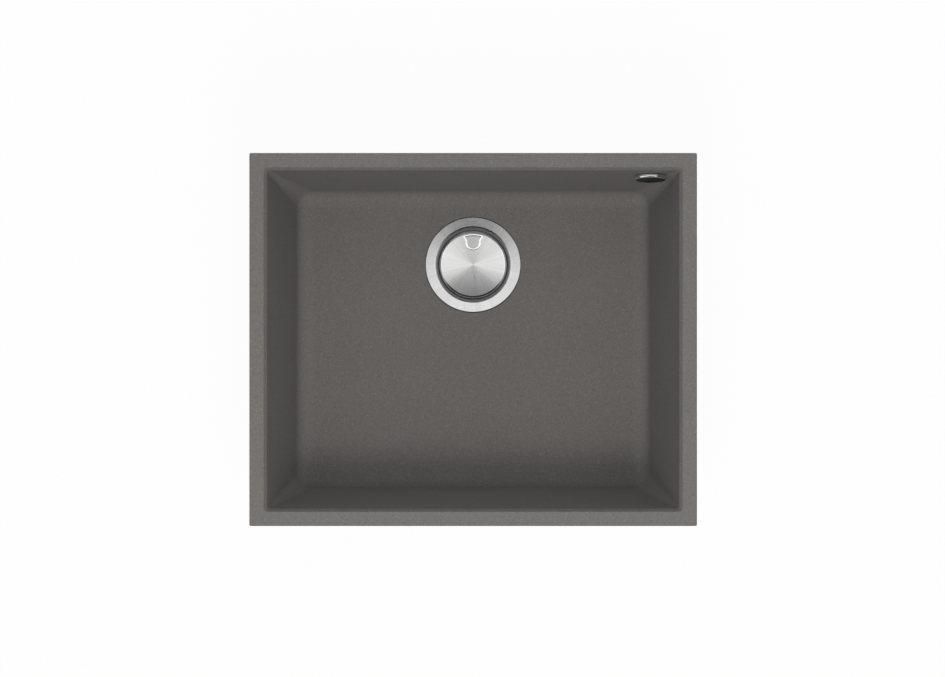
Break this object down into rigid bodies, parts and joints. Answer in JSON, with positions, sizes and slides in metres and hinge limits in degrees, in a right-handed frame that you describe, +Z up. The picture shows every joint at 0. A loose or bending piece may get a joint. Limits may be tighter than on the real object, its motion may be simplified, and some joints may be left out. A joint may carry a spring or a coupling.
{
  "type": "undermount kitchen sink",
  "caption": "Rectangular undermount kitchen sink in granite composite with sloping walls, a lift-out basket waste under a tilting cover, and an overflow piped to the waste.",
  "frame": {"origin": "middle of the bowl's mouth, on the plane of the rim's top face", "axes": "+Z up, square to the rim; +X along the long side, towards the overflow; +Y to the back, where the waste is"},
  "size_m": [0.54, 0.45, 0.3037],
  "materials": {
    "granite": "matte",
    "cover_steel": "satin",
    "flange_steel": "satin",
    "basket_steel": "satin",
    "bright_steel": "polished",
    "chrome": "polished",
    "brass": "satin",
    "rubber": "matte",
    "grey_plastic": "satin",
    "black_plastic": "satin"
  },
  "bodies": {
    "sink": {"bowl": "granite", "rim_inserts": "brass", "flange_seal": "rubber", "strainer_flange": "flange_steel", "strainer_cup": "flange_steel", "body_seal": "rubber", "drain_body": "grey_plastic", "drain_funnel": "grey_plastic", "outlet_tail": "grey_plastic", "body_insert": "brass", "screw_washer": "bright_steel", "clamp_screw": "bright_steel", "cap_seal": "rubber", "overflow_cap": "chrome", "elbow_seal": "rubber", "overflow_elbow": "grey_plastic", "socket_ring": "rubber", "overflow_pipe": "grey_plastic", "port_seal": "rubber", "port_nut": "black_plastic"},
    "basket": {"strainer_basket": "basket_steel", "plug_seal": "rubber", "plug_retainer": "bright_steel", "plug_nut": "bright_steel", "basket_post": "black_plastic"},
    "cover": {"cover_disc": "cover_steel", "cover_bracket": "bright_steel", "cover_pin": "bright_steel"}
  },
  "joints": [
    {"name": "basket_lift", "type": "slide", "parent": "sink", "child": "basket", "axis": [0, 0, 1], "range_m": [0, 0.25]},
    {"name": "cover_tilt", "type": "hinge", "parent": "basket", "child": "cover", "pos_m": [0, 0.1005, -0.2061], "axis": [-1, 0, 0], "range_deg": [0, 20]}
  ]
}
